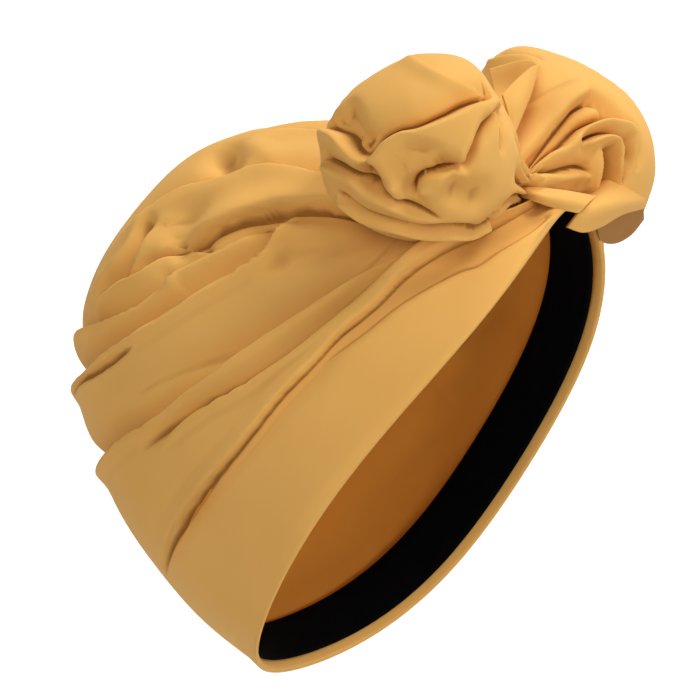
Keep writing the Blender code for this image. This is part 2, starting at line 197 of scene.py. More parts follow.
# Folds of the crown. places: (share of the way round, ring) along the fold, from the knot to the back.
# Heights and widths in millimetres: above is the side towards the top, below the side towards the rim.
# edge: half the width of the step between them. lap: how far the upper side overhangs the lower one, or
# the lower one the upper where it is negative. fades: the lengths over which the fold dies out at its two
# ends. All three are in millimetres. side: R right of the head, L left, B both.
CROWN_FOLDS = (
    # places, above, below, above width, below width, edge, lap, fades, side
    (((0.06, 0.230), (0.12, 0.239), (0.17, 0.242), (0.22, 0.251), (0.26, 0.258), (0.30, 0.268),
      (0.34, 0.266), (0.37, 0.256), (0.41, 0.231), (0.46, 0.217), (0.49, 0.203), (0.53, 0.193),
      (0.59, 0.178), (0.66, 0.176), (0.74, 0.176), (0.82, 0.174)),
     2.4, -2.6, 4.5, 5, 0.5, 0.5, (8, 60), "B"),
    (((0.08, 0.235), (0.20, 0.260), (0.29, 0.290), (0.34, 0.303), (0.36, 0.293), (0.39, 0.277),
      (0.42, 0.262), (0.48, 0.244), (0.55, 0.241), (0.62, 0.256), (0.70, 0.266)),
     -2.6, 1.6, 5, 3.5, 0.45, -0.3, (10, 25), "B"),
    (((0.08, 0.250), (0.20, 0.300), (0.30, 0.326), (0.37, 0.314), (0.43, 0.305), (0.49, 0.293),
      (0.54, 0.289), (0.62, 0.289), (0.68, 0.293), (0.74, 0.309), (0.84, 0.325), (1.0, 0.342)),
     -4.4, 1.9, 8, 5, 0.45, -0.5, (10, 1), "B"),
    (((0.49, 0.508), (0.50, 0.498), (0.51, 0.471), (0.52, 0.448), (0.54, 0.433), (0.57, 0.425),
      (0.60, 0.421), (0.64, 0.417), (0.68, 0.418), (0.73, 0.425), (0.78, 0.431), (0.84, 0.443),
      (0.92, 0.450), (1.0, 0.450)), -5.6, 2.2, 8, 5, 0.6, -0.4, (8, 1), "B"),
    (((0.28, 0.365), (0.36, 0.432), (0.40, 0.478), (0.44, 0.517), (0.49, 0.542), (0.52, 0.550),
      (0.55, 0.548), (0.59, 0.542), (0.63, 0.536), (0.68, 0.536)), 2.2, -3.6, 8, 8, 0.7, 0.7, (10, 20), "B"),
    (((0.52, 0.518), (0.54, 0.502), (0.57, 0.489), (0.60, 0.484), (0.64, 0.479)),
     -2.4, 1.5, 4, 4, 0.5, -0.5, (10, 6), "B"),
    (((0.63, 0.478), (0.65, 0.464), (0.67, 0.460), (0.70, 0.463), (0.73, 0.470), (0.77, 0.482),
      (0.83, 0.502), (0.92, 0.512)), -3.8, 1.9, 6, 6, 0.45, -0.7, (5, 40), "B"),
    (((0.59, 0.502), (0.61, 0.517), (0.635, 0.537), (0.655, 0.530), (0.68, 0.517), (0.72, 0.515),
      (0.78, 0.516)), -2.4, 1.5, 5, 4, 0.6, 0, (8, 20), "R"),
    (((0.65, 0.620), (0.635, 0.585), (0.635, 0.560), (0.65, 0.535)), -3.4, -3.4, 9, 9, 1, 0, (12, 10), "R"),
    (((0.69, 0.399), (0.73, 0.403), (0.77, 0.411), (0.82, 0.425), (0.88, 0.432)),
     -2.4, 0.5, 3.5, 4, 0.7, 0, (12, 25), "B"),
    (((0.36, 0.385), (0.45, 0.417), (0.48, 0.423), (0.52, 0.413)), -1.8, -1.8, 7, 7, 1, 0, (15, 12), "B"),
    (((0.32, 0.560), (0.42, 0.600), (0.47, 0.618), (0.49, 0.634), (0.53, 0.658), (0.56, 0.670),
      (0.61, 0.656), (0.69, 0.662), (0.74, 0.645), (0.80, 0.620)), -2.6, 1.7, 8, 8, 0.5, -0.6, (15, 25), "B"),
    (((0.74, 0.790), (0.67, 0.735), (0.62, 0.680)), -4.6, -4.6, 7, 7, 1, 0, (12, 8), "R"),
    (((0.67, 0.695), (0.655, 0.672)), -5.0, -5.0, 3.0, 3.0, 1, 0, (3, 3), "R"),
    (((0.73, 0.630), (0.73, 0.572), (0.76, 0.552), (0.80, 0.550)), 2.0, 2.0, 3, 3, 0.6, 0, (8, 12), "R"),
    (((0.715, 0.620), (0.712, 0.565), (0.73, 0.537), (0.78, 0.530)),
     -5.0, -5.0, 3.5, 3.5, 0.8, 0, (8, 14), "R"),
    (((0.70, 0.600), (0.695, 0.554), (0.71, 0.524), (0.74, 0.514), (0.79, 0.492)),
     1.8, 1.8, 3, 3, 0.6, 0, (8, 14), "R"),
    (((0.54, 0.672), (0.63, 0.750), (0.74, 0.800)), 1.6, 1.0, 7, 7, 1, 0, (12, 18), "R"),
    (((0.11, 0.050), (0.16, 0.076), (0.20, 0.110), (0.245, 0.143), (0.275, 0.152), (0.30, 0.176),
      (0.35, 0.196), (0.39, 0.201), (0.43, 0.194), (0.50, 0.196)), -2.0, 0.9, 5, 5, 0.8, 0, (6, 20), "B"),
    (((0.56, 0.296), (0.65, 0.323), (0.72, 0.338)), -0.9, 0.7, 6, 6, 1.5, 0, (20, 20), "B"),
    (((0.03, 0.235), (0.12, 0.237), (0.17, 0.249), (0.23, 0.262)), 0.9, -1.6, 3, 3, 0.4, 0.5, (4, 12), "B"),
    (((0.08, 0.300), (0.14, 0.329), (0.176, 0.316), (0.22, 0.330)), 0.8, -1.4, 3, 3, 0.4, 0.4, (4, 10), "B"),
    (((0.60, 0.585), (0.70, 0.600), (0.80, 0.590), (0.92, 0.585)), -2.0, 1.4, 7, 5, 0.8, 0, (15, 20), "L"),
    (((0.66, 0.735), (0.76, 0.760), (0.88, 0.745)), 1.2, -1.8, 7, 6, 0.7, 0.3, (15, 20), "L"),
    (((0.55, 0.545), (0.62, 0.560), (0.72, 0.552)), -1.6, 1.2, 5, 4, 0.6, 0, (10, 15), "L"),
    (((0.50, 0.830), (0.66, 0.850), (0.82, 0.860)), -1.2, 0.8, 6, 6, 1, 0, (20, 20), "B"),
)

# Outline of a puff as seen from LOOK_FROM: its reach, a share of PUFF_RADIUS, at twelve even directions
# from the right hand round over the top
RIGHT_OUTLINE = (1.00, 0.92, 0.97, 0.875, 0.82, 0.87, 0.97, 1.05, 1.01, 1.01, 1.10, 1.08)
LEFT_OUTLINE = (0.98, 0.84, 0.74, 0.87, 1.13, 1.08, 0.80, 0.75, 0.72, 0.85, 1.23, 1.13)

# Folds of the puffs. places: shares of PUFF_RADIUS across and up from the puff's middle as the camera sees
# them, on the side turned to it or on the far side. Heights and widths in millimetres, left and right of
# the way that the fold runs. edge, lap and fades as for the crown, with left for above. Both puffs have
# FAR_FOLDS.
FAR_FOLDS = (
    # places, left, right, left width, right width, edge, lap, fades, far side
    (((0.55, 0.15), (0.15, -0.45), (-0.40, -0.70)), -2.8, 2.0, 6, 5, 0.7, 0.3, (6, 10), True),
    (((0.55, 0.35), (0.00, 0.15), (-0.60, -0.05)), -2.8, 2.0, 6, 5, 0.7, 0.3, (6, 10), True),
)
RIGHT_FOLDS = (
    (((0.73, 0.41), (0.63, 0.50), (0.49, 0.56), (0.19, 0.69), (0.01, 0.79), (-0.12, 0.88)),
     1.5, 1.2, 4, 8, 0.7, 0, (2, 10), False),
    (((0.75, 0.40), (0.57, 0.38), (0.33, 0.27), (0.14, 0.19), (-0.05, 0.13), (-0.17, 0.11),
      (-0.36, 0.0), (-0.48, -0.14), (-0.53, -0.18)), 2.6, -2.4, 6, 6, 0.7, 0, (1, 2), False),
    (((-0.97, 0.15), (-0.82, 0.09), (-0.72, -0.03), (-0.62, -0.14), (-0.53, -0.18)),
     -2.4, 2.6, 3.5, 6, 0.7, 0, (4, 2), False),
    (((-0.77, 0.36), (-0.70, 0.27), (-0.62, 0.13), (-0.51, -0.04)),
     -3.4, -3.4, 3.6, 3.6, 1, 0, (6, 4), False),
    (((-0.86, 0.26), (-0.76, 0.14), (-0.66, 0.0)), -2.2, -2.2, 2.6, 2.6, 1, 0, (5, 5), False),
    (((0.72, 0.38), (0.62, 0.19), (0.53, 0.0), (0.46, -0.19), (0.38, -0.27)),
     -4.2, 2.4, 3.6, 4.5, 0.5, -1.2, (1, 5), False),
    (((0.46, -0.21), (0.38, -0.27), (0.21, -0.34), (0.12, -0.37), (0.02, -0.46), (0.0, -0.57)),
     1.8, -3.0, 5, 3.6, 0.5, 0.4, (3, 4), False),
    (((0.25, -0.48), (0.50, -0.53), (0.72, -0.62)), -3.8, -3.8, 6, 6, 1, 0, (8, 8), False),
    (((0.05, 0.02), (0.02, -0.16), (-0.08, -0.30), (-0.28, -0.34)), -3.4, -3.4, 6, 6, 1, 0, (6, 8), False),
    (((0.33, -0.14), (0.18, -0.30)), -2.0, -2.0, 3, 3, 1, 0, (4, 4), False),
    (((-0.53, -0.22), (-0.51, -0.36), (-0.42, -0.53)), -3.4, -3.4, 3.4, 3.4, 1, 0, (3, 5), False),
    (((-0.97, -0.21), (-0.70, -0.34), (-0.49, -0.51), (-0.25, -0.64), (0.18, -0.80)),
     -2.6, 1.8, 5, 5, 0.7, -0.3, (6, 14), False),
    (((-0.28, -0.42), (-0.25, -0.52), (-0.20, -0.66)), 2.0, 2.0, 2.6, 2.6, 0.7, 0, (4, 4), False),
    (((-0.81, -0.55), (-0.70, -0.64), (-0.56, -0.74), (-0.17, -0.86), (0.05, -0.91), (0.36, -0.92),
      (0.58, -0.91), (0.72, -0.83), (0.85, -0.77)), -1.0, 2.4, 4, 3.5, 0.4, 0, (4, 4), False),
    (((0.70, 0.36), (0.64, 0.10), (0.58, -0.16)), 1.0, -0.6, 4, 3, 0.6, 0, (2, 8), False),
    (((0.64, 0.26), (0.57, 0.10), (0.52, -0.04), (0.45, -0.20)), -3.0, -3.0, 1.1, 1.1, 1, 0, (3, 4), False),
    (((-0.80, -0.52), (-0.69, -0.61), (-0.55, -0.71), (-0.17, -0.83), (0.05, -0.87), (0.36, -0.88),
      (0.57, -0.87), (0.71, -0.79), (0.83, -0.73)), -2.8, -2.8, 1.3, 1.3, 1, 0, (5, 3), False),
    (((0.78, 0.34), (0.82, 0.10), (0.84, -0.10)), -1.6, 0.8, 3, 4, 0.8, 0, (1, 8), False),
    *FAR_FOLDS,
    (((0.50, 0.50), (0.05, 0.62), (-0.40, 0.60)), -2.4, 1.8, 6, 5, 0.7, 0.3, (6, 10), True),
)
LEFT_FOLDS = (
    (((-0.46, -0.25), (-0.26, -0.05), (-0.10, 0.13), (0.03, 0.27), (0.13, 0.38), (0.25, 0.46),
      (0.35, 0.52)), 1.6, -2.8, 8, 4, 0.6, 0.4, (1, 3), False),
    (((0.30, 0.50), (0.46, 0.44), (0.58, 0.30), (0.60, 0.20)), -4.6, -4.6, 4.2, 4.2, 1, 0, (4, 5), False),
    (((-0.46, -0.41), (-0.27, -0.26), (-0.10, -0.14), (0.03, -0.08), (0.13, 0.02), (0.25, 0.13),
      (0.38, 0.19), (0.51, 0.22), (0.64, 0.21), (0.73, 0.16), (0.79, 0.07), (0.82, -0.09), (0.82, -0.30)),
     -2.8, 2.8, 4, 3.6, 0.6, 0, (1, 10), False),
    (((0.70, 0.05), (0.745, -0.10), (0.74, -0.32)), -3.6, -3.6, 3, 3, 1, 0, (4, 8), False),
    (((0.22, -0.05), (0.37, 0.02), (0.52, 0.05), (0.62, 0.01), (0.67, -0.07), (0.675, -0.23), (0.67, -0.47)),
     -2.4, 2.8, 3, 3, 0.6, 0, (5, 10), False),
    (((0.50, -0.06), (0.55, -0.22), (0.54, -0.40), (0.48, -0.60)), -4.4, -4.4, 3.4, 3.4, 1, 0, (4, 6), False),
    (((0.48, -0.10), (0.45, -0.30), (0.42, -0.45), (0.38, -0.63)), -1.0, 1.8, 3, 3, 0.4, -0.5, (3, 2), False),
    (((-0.44, -0.40), (-0.22, -0.38), (0.04, -0.37), (0.22, -0.35), (0.30, -0.38)),
     -2.8, 1.8, 4, 4, 0.5, 0, (1, 5), False),
    (((-0.45, -0.57), (-0.27, -0.59), (-0.10, -0.60), (0.13, -0.62), (0.36, -0.655)),
     1.2, -2.0, 4, 3, 0.35, 0.5, (1, 2), False),
    (((-0.42, 0.32), (-0.10, 0.50), (0.20, 0.64)), -0.9, 0.7, 8, 8, 1.5, 0, (8, 10), False),
    (((-0.75, 0.86), (-0.50, 0.90), (-0.20, 0.86)), -2.4, 1.6, 4, 4, 0.7, 0, (3, 8), False),
    *FAR_FOLDS,
    (((0.50, 0.55), (0.05, 0.62), (-0.40, 0.60)), -2.4, 1.8, 6, 5, 0.7, 0.3, (6, 10), True),
    (((0.60, -0.10), (0.30, -0.75), (-0.10, -0.70)), -2.4, 1.8, 6, 5, 0.7, 0.3, (6, 10), True),
)

# Where the cloth of both puffs is gathered: a place on the crown's chart and its distance from the crown
KNOT_PLACE = (-0.278, 0.854)
KNOT_LIFT = 0.0018

PUFFS = (
    # name          across  forward  out    towards, away  outline        folds        neck: radius, length
    ("right_puff", -0.42,   0.635,   0.709, (0.95, 1.25),  RIGHT_OUTLINE, RIGHT_FOLDS, (0.006, 0.038)),
    ("left_puff",   0.37,   0.72,    0.839, (1.20, 0.95),  LEFT_OUTLINE,  LEFT_FOLDS,  (0.007, 0.067)),
)
NECK_TAPER = 0.30
NECK_POWER = 8
LEAST_COSINE = 0.01

# Gathers: their number round the knot, how they sway, their height and reach in metres, and the cosines to
# the far side between which they set in
GATHER_WAVES = 13
GATHER_SWAY = 1.3
GATHER_SWAYS = 3
GATHER_HEIGHT = 0.00275
GATHER_REACH = 0.024
GATHER_SPAN = (-0.5, 0.3)

# How far behind a puff's middle the look at its far side starts
FAR_START = 0.2

# Loose edges of cloth on the knot. Rows of points in millimetres from the origin as the camera sees them:
# to the right, up and towards it.
POCKET = (
    # back left, back, back right, corner, and on the next line front right, front, front left
    ((20.1, 130.8, 0), (30.9, 133.4, 4), (35.0, 133.3, 5), (37.1, 131.2, 9),
     (34.3, 130.2, 14), (29.4, 125.2, 22), (24.1, 119.0, 29)),
    ((22.6, 119.8, 8), (27.8, 120.8, 8), (31.4, 120.8, 11), (33.8, 120.3, 18),
     (32.0, 119.0, 24), (28.6, 117.0, 29), (25.4, 114.3, 32)),
    ((27.0, 106.4, 32), (27.5, 106.4, 31.6), (28.0, 106.4, 32), (28.3, 106.4, 32.6),
     (28.0, 106.2, 33.2), (27.6, 106.2, 33.6), (27.2, 106.2, 33.4)),
)
STRIP = (
    # at the knot        on                   on                  under the fall
    ((29.7, 87.9, 36),   (37.2, 86.1, 38),    (45.9, 85.5, 32),   (56.8, 84.6, 20)),
    ((28.3, 86.2, 38),   (36.3, 83.5, 44),    (44.3, 82.2, 39),   (52.9, 81.2, 29)),
    ((27.6, 84.3, 37),   (35.3, 81.5, 43),    (42.9, 79.4, 38),   (49.7, 78.3, 32)),
)
FALL = (
    # left tip           on                   middle              on                  right
    ((57.0, 87.2, 4),    (60.3, 91.6, 2),     (64.0, 93.6, -2),   (69.0, 93.2, -8),   (74.2, 91.5, -20)),
    ((51.9, 80.9, 27),   (57.0, 81.6, 25),    (62.5, 82.8, 19),   (68.8, 84.2, 7),    (75.1, 86.4, -12)),
    ((46.3, 73.5, 30),   (51.6, 72.1, 26),    (58.2, 74.6, 18),   (66.5, 79.9, 4),    (75.4, 83.3, -16)),
)
ROLLED_END = (
    ((57.1, 74.9, 14),   (61.6, 78.2, 8),     (66.0, 81.1, 2),    (70.7, 83.4, -5),   (75.0, 84.8, -16)),
    ((58.0, 72.5, 7),    (62.4, 73.8, 0),     (66.7, 76.1, -6),   (71.0, 79.0, -12),  (75.3, 81.9, -20)),
    ((58.9, 71.4, 0),    (62.6, 70.8, -8),    (66.7, 71.8, -15),  (71.4, 74.9, -20),  (75.7, 80.0, -26)),
    ((60.3, 72.4, -9),   (63.5, 71.9, -17),   (67.3, 73.0, -24),  (71.6, 76.2, -28),  (75.3, 81.6, -33)),
)
SHEETS = (
    # name              table       thickness  flat size        material              node that it replaces
    ("tuck_pocket",     POCKET,     0.0012,    (0.030, 0.025),  "mustard_jersey",     "knot_tuck"),
    ("knot_strip",      STRIP,      0.0014,    (0.029, 0.011),  "mustard_jersey",     "knot_wrap"),
    ("left_puff_fall",  FALL,       0.0014,    (0.038, 0.025),  "mustard_jersey",     None),
    # The rolled end wears a cloth whose darker tones are painted shade
    ("left_puff_end",   ROLLED_END, 0.0014,    (0.029, 0.024),  "mustard_rolled_end_painted_shade", None),
)

CLOTHS = (
    # name                 darker tone            lighter tone
    ("mustard_jersey",     (0.770, 0.405, 0.098), (0.830, 0.450, 0.118)),
    # The inside's redder, deeper tones are painted shade, the orange of light bounced about inside the cap
    ("mustard_inside_painted_shade", (0.750, 0.300, 0.036), (0.810, 0.340, 0.046)),
    # The rolled end's darker browns are painted shade, for its underside turned away from the light
    ("mustard_rolled_end_painted_shade", (0.360, 0.150, 0.030), (0.420, 0.185, 0.042)),
)
CLOTH_SHADER = {
    "Roughness": 0.8,
    "Sheen Weight": 0.12,
    "Sheen Roughness": 0.45,
    "Sheen Tint": (1.0, 0.72, 0.36, 1.0),
    "Specular IOR Level": 0.15,
}
BAND_SHADER = {
    "Base Color": (0.0022, 0.0022, 0.0026, 1.0),
    "Roughness": 0.95,
    "Specular IOR Level": 0.03,
}
STAGE_SHADER = {
    "Base Color": (0.62, 0.62, 0.62, 1.0),
    "Roughness": 0.9,
}

# The slow change between a cloth's two tones
TONE_NOISE = {"Scale": 18.0, "Detail": 3.0}
TONE_SPAN = (0.3, 0.7)

# The knit: how fine it is, how strongly it shows on the cloth and on the band, and its depth in metres
KNIT_NOISE = {"Detail": 4.0, "Roughness": 0.65}
CLOTH_KNIT = (1400.0, 0.10)
BAND_KNIT = (1200.0, 0.3)
KNIT_DEPTH = 0.0003

# Painted crease shade: the hollowness at which the deeper colour sets in and is full, and how much of it
# there is then
CREASE_SHADE_RANGE = {"From Min": 0.496, "From Max": 0.45, "To Max": 0.85}
CREASE_SHADE_COLOUR = (0.30, 0.10, 0.012, 1.0)
# Sockets of a mix node that mixes colours
MIX_FACTOR = 0
MIX_FIRST = 6
MIX_SECOND = 7
MIX_RESULT = 2

# Soft square lights: metres towards the camera, to its right and up, size in metres, power in watts
LIGHTS = (
    # name             towards  right  up    size  power
    ("key",             0.6,     0.8,   1.4,  0.5,  12.0),
    ("top",            -0.3,     0.3,   1.6,  0.8,  15.0),
    ("fill",            1.7,    -0.7,   0.5,  1.2,  12.0),
    ("opening",         0.8,     1.5,  -0.1,  0.4,   8.0),
    ("backdrop_light", -1.1,     0.0,   1.0,  1.0,  56.0),
)
LIGHT_AIM = (0.0, 0.02, 0.03)
# The backdrop's light is aimed at the wall behind, this far under the origin
WALL_AIM_DROP = 0.15
WORLD_STRENGTH = 0.06


def unit(vectors):
    """The vectors at length one."""
    return vectors / np.linalg.norm(vectors, axis=-1, keepdims=True)


def smooth_step(low, high, at):
    """0 below low, 1 above high and a smooth rise between them."""
    t = np.clip((at - low) / (high - low), 0.0, 1.0)
    return t * t * (3 - 2 * t)


def through(places, values, at, level_ends=True):
    """A smooth curve through values at places, read at the numbers in at."""
    places, values = np.array(places), np.array(values)
    slopes = np.gradient(values, places)
    if level_ends:
        slopes[0] = slopes[-1] = 0.0
    k = np.clip(np.searchsorted(places, at, side="right") - 1, 0, len(places) - 2)
    step = places[k + 1] - places[k]
    t = (at - places[k]) / step
    rise = t * t * (3 - 2 * t)
    return (values[k] * (1 - rise) + values[k + 1] * rise
            + step * (slopes[k] * t * (1 - t) ** 2 - slopes[k + 1] * t * t * (1 - t)))


def run_along(points):
    """How far along a line each of its points lies."""
    return np.concatenate([[0.0], np.cumsum(np.linalg.norm(np.diff(points, axis=0), axis=1))])


def smooth_line(places, count):
    """Evenly many points on a smooth line through some places."""
    places = np.array(places)
    run = run_along(places)
    at = np.linspace(0.0, run[-1], count)
    if len(places) == 2:
        return np.stack([np.interp(at, run, places[:, k]) for k in range(2)], 1)
    return np.stack([through(run, places[:, k], at, False) for k in range(2)], 1)


def rim_height(angle):
    """How far the rim stands from the plane through its forehead and nape points."""
    side = np.sin(angle) ** 2
    return (-SIDE_DIP * side + SIDE_DIP_FORWARD * side * np.cos(angle)
            - CORNER_DIP * np.sin(2 * angle) ** 2)


def crown_block(angle, climb):
    """A point of the plain crown: angle round from the forehead, climb 0 at the rim and 1 at the top."""
    arc = climb * math.pi / 2
    reach = np.cos(arc) ** WALL_ROUNDNESS
    rise = np.sin(arc) ** RISE_ROUNDNESS
    bulge = 1 + WALL_BULGE * np.sin(2 * arc)
    across = CROWN_WIDTH / 2 * reach * np.sin(angle) * (1 - EGG_SHARE * np.cos(angle) * reach) * bulge
    forward = CROWN_LENGTH / 2 * reach * np.cos(angle) * bulge - CROWN_SETBACK * rise
    height = CROWN_HEIGHT * rise + rim_height(angle) * (1 - rise)
    return (across[..., None] * ACROSS + forward[..., None] * FORWARD
            + height[..., None] * INTO_CROWN)


def on_chart(across, forward):
    """A point of the plain crown from its place on a flat round chart: rim at radius 1, top at the middle."""
    radius = np.clip(np.hypot(across, forward), 0.0, 1.0)
    return crown_block(np.arctan2(across, forward), 1 - radius)


def outward(across, forward):
    """The plain crown's outward direction at a place on the chart."""
    along_x = on_chart(across + CHART_STEP, forward) - on_chart(across - CHART_STEP, forward)
    along_y = on_chart(across, forward + CHART_STEP) - on_chart(across, forward - CHART_STEP)
    return unit(np.cross(along_y, along_x))


def off_chart(across, forward, lift):
    """A point at some distance outside the plain crown, from its place on the chart."""
    place = np.array(across), np.array(forward)
    return on_chart(*place) + lift * outward(*place)


def ring_place(turn, ring):
    """Chart place on a ring: turn runs from -pi to pi with 0 at the knot, ring from 0 to 1."""
    middle = (KNOT_SHARE + MEETING_SHARE) / 2 * ring
    reach = 1 - ring + ring * (KNOT_SHARE - MEETING_SHARE) / 2
    return (1 - ring) * np.sin(turn), middle + reach * np.cos(turn)


def block_point(turn, ring):
    """A point of the plain crown and its outward direction."""
    across, forward = ring_place(turn, ring)
    inside = 1 - CHART_EDGE
    return on_chart(across, forward), outward(across * inside, forward * inside)


def fold_profile(side, fold):
    """A fold's height in millimetres and the share of its right side, at distances aside of its line."""
    left, right, left_width, right_width, edge = fold[:5]
    on_right = 0.5 + 0.5 * np.tanh(side / edge)
    height = (left * np.exp(-(side / left_width) ** 2) * (1 - on_right)
              + right * np.exp(-(side / right_width) ** 2) * on_right)
    low_side = 1 if right < left else -1
    groove = GROOVE_DEPTH * smooth_step(*GROOVE_STEPS, abs(left - right)) / max(1.0, edge)
    height -= groove * np.exp(-((side * low_side - GROOVE_PLACE - edge) / GROOVE_WIDTH) ** 2)
    return height, on_right


def end_fade(place, fade):
    """0 beyond a fold's end and 1 well inside it, at some millimetres from the end."""
    return smooth_step(FADE_SPAN[0] * fade, FADE_SPAN[1] * fade, place)


def fold_shift(points, normals, line, line_normals, fold, scale=1.0):
    """How far one fold moves each point: outwards, and sideways over the fold's edge."""
    _, _, left_width, right_width, edge, lap, fades = fold
    ahead = unit(np.gradient(line, axis=0))
    aside = unit(np.cross(ahead, line_normals))
    widest = FOLD_REACH * max(left_width, right_width) * MM
    near = np.linalg.norm(line - line.mean(0), axis=1).max() + widest
    chosen = np.where(np.linalg.norm(points - line.mean(0), axis=1) < near)[0]
    out = np.zeros(len(points))
    over = np.zeros_like(points)
    if not len(chosen):
        return out, over
    p = points[chosen]
    squares = (p ** 2).sum(1)[:, None] + (line ** 2).sum(1) - 2 * p @ line.T
    nearest = squares.argmin(1)
    offset = p - line[nearest]
    side = (offset * aside[nearest]).sum(1) / MM
    along = (offset * ahead[nearest]).sum(1) / MM
    run = run_along(line) / MM
    place = run[nearest] + along
    fade = end_fade(place, fades[0]) * end_fade(run[-1] - place, fades[1])
    fade *= smooth_step(*FACING_SPAN, (normals[chosen] * line_normals[nearest]).sum(1))
    height, on_right = fold_profile(side, fold)
    out[chosen] = height * fade * scale * MM
    if lap:
        upper = 1 - on_right if lap > 0 else on_right
        raised = np.exp(-(side / (LAP_EDGES * edge + LAP_MORE)) ** 2) * upper
        over[chosen] = (lap * MM * scale * fade * raised)[:, None] * aside[nearest]
    return out, over


def crown_line(places, side):
    """The line of a crown fold on one side of the head, and the crown's outward directions along it."""
    past_back = ((PAST_BACK, places[-1][1]),) if places[-1][0] == 1.0 else ()
    line = smooth_line(places + past_back, FOLD_POINTS)
    wander = 0.0
    if side > 0:
        wander = WANDER * np.sin(WANDER_WAVES * line[:, 0] + WANDER_START) * (1 - line[:, 0])
    return block_point(side * math.pi * line[:, 0], line[:, 1] + wander)


def crown_shift(turn, ring, softness=1.0, scale=1.0):
    """Points of the plain crown, their outward directions, and how far the folds move them out and aside."""
    points, normals = block_point(turn, ring)
    flat = points.reshape(-1, 3)
    flat_normals = normals.reshape(-1, 3)
    out = np.zeros(len(flat))
    over = np.zeros_like(flat)
    for places, above, below, above_width, below_width, edge, lap, fades, sides in CROWN_FOLDS:
        for side, letter in ((-1, "R"), (1, "L")):
            if sides not in (letter, "B"):
                continue
            at, facing = crown_line(places, side)
            # A line on the left runs from the back to the knot, so that above lies on its right there too
            order = slice(None, None, -1) if side > 0 else slice(None)
            fold = (below, above, below_width, above_width, edge * softness, -lap, fades[order])
            add_out, add_over = fold_shift(flat, flat_normals, at[order], facing[order], fold, scale)
            own_side = smooth_step(-BACK_BLEND, BACK_BLEND, side * flat[:, 0])
            out += add_out * own_side
            over += add_over * own_side[:, None]
    return points, normals, out.reshape(points.shape[:-1]), over.reshape(points.shape)


def drape(turn, ring):
    """Slow waves of a few tenths of a millimetre that keep the cloth from looking machined."""
    way = np.abs(turn) / math.pi
    return MM * (0.35 * np.sin(21 * ring + 5 * way + 1.5 * np.sin(turn))
                 + 0.25 * np.sin(37 * ring - 9 * way + np.sign(turn) * 0.7)
                 + 0.20 * np.sin(13 * way + 11 * ring))


def round_turns(count):
    """Even turns once round the crown."""
    return np.linspace(-math.pi, math.pi, count, endpoint=False)


def row_rings(turns):
    """The ring of every mesh row at every turn."""
    way = np.abs(turns) / math.pi
    lines = [through(STATIONS, rings, way) for rings, _ in ROW_LINES]
    rows = []
    for k, (_, count) in enumerate(ROW_LINES[:-1]):
        for step in range(count):
            share = step / count
            rows.append(lines[k] * (1 - share) + lines[k + 1] * share)
    rows.append(lines[-1])
    return np.array(rows)


def ring_at_depth(turn, depth):
    """The ring at which the line of one turn has gone the length depth up from the rim."""
    climbs = np.linspace(0.0, BAND_CLIMB, CLIMB_STEPS)
    run = run_along(crown_block(np.full_like(climbs, turn), climbs))
    climb = np.interp(depth, run, climbs)
    rings = np.linspace(0.0, 1.0, RING_STEPS)
    return np.interp(climb, 1 - np.hypot(*ring_place(turn, rings)), rings)


def grid_faces(height, width, closed_on=False):
    """Quads over a grid of points that closes round its rows, as an array of their corners."""
    index = np.arange(height * width).reshape(height, width)
    right = np.roll(index, -1, axis=1)
    lower = np.roll(index, -1, axis=0)
    lower_right = np.roll(lower, -1, axis=1)
    faces = np.stack([index, right, lower_right, lower], -1)
    return faces if closed_on else faces[:-1]


def grid_mesh(name, rows, closed_on=False, capped=False, sewn=False):
    """A mesh over a grid of points. closed_on joins its last row to its first one, capped closes its two end
    rows, and sewn joins a front and a back there."""
    rows = np.asarray(rows)
    height, width = rows.shape[:2]
    faces = grid_faces(height, width, closed_on).reshape(-1, 4).tolist()
    first = list(range(width))
    last = [(height - 1) * width + k for k in range(width)]
    if capped:
        faces += [first, last]
    if sewn:
        for ring in (first, last):
            faces += [[ring[k], ring[k + 1], ring[-k - 2], ring[-k - 1]] for k in range(width // 2 - 1)]
    mesh = bpy.data.meshes.new(name)
    mesh.from_pydata(rows.reshape(-1, 3).tolist(), [], faces)
    return mesh


def tidy_mesh(mesh, weld=WELD):
    """Welds doubled points and turns the faces outwards."""
    skin = bmesh.new()
    skin.from_mesh(mesh)
    bmesh.ops.remove_doubles(skin, verts=skin.verts, dist=weld)
    bmesh.ops.recalc_face_normals(skin, faces=skin.faces)
    skin.to_mesh(mesh)
    skin.free()
    mesh.shade_smooth()
    return mesh


def add_piece(name, mesh, material, slot, *nodes):
    """An object of the headwrap that rides on its one body and stands for its solids."""
    obj = bpy.data.objects.new(name, mesh)
    mesh.materials.append(material)
    bpy.context.scene.collection.objects.link(obj)
    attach(obj, "root")
    if nodes:
        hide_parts(*nodes)
    return obj


def above_band(turn, ring):
    """0 over the band, 1 above it."""
    return smooth_step(*BAND_ZONE, 1 - np.hypot(*ring_place(turn, ring)))


def crown_outside(turns):
    """The cap's folded outside, in rows from the rim to the top."""
    rings = row_rings(turns)
    turn = np.broadcast_to(turns, rings.shape)
    points, normals, out, over = crown_shift(turn, rings, scale=CROWN_FOLD_SCALE)
    hem = smooth_step(0.0, HEM_RINGS, rings)
    free = above_band(turn, rings)
    floor = -DEEPEST_AT_BAND * (1 - free) - DEEPEST_ABOVE * free
    out = (out + floor + np.hypot(out - floor, FLOOR_ROUNDING)) / 2
    return points + (out + drape(turn, rings))[..., None] * normals * hem[..., None] + over


def crown_inside(turns):
    """The cap's smoother inside, in rows from the rim to the top."""
    rings = np.linspace(INSIDE_START, 1.0, INSIDE_ROWS)[:, None] * np.ones_like(turns)
    turn = np.broadcast_to(turns, rings.shape)
    points, normals, out, _ = crown_shift(turn, rings, softness=INSIDE_SOFTNESS)
    free = above_band(turn, rings)
    depth = np.minimum(out, 0.0) * free - HEM_DEPTH * (1 - free) - (CLOTH + INSIDE_GAP) * free
    return points + depth[..., None] * normals


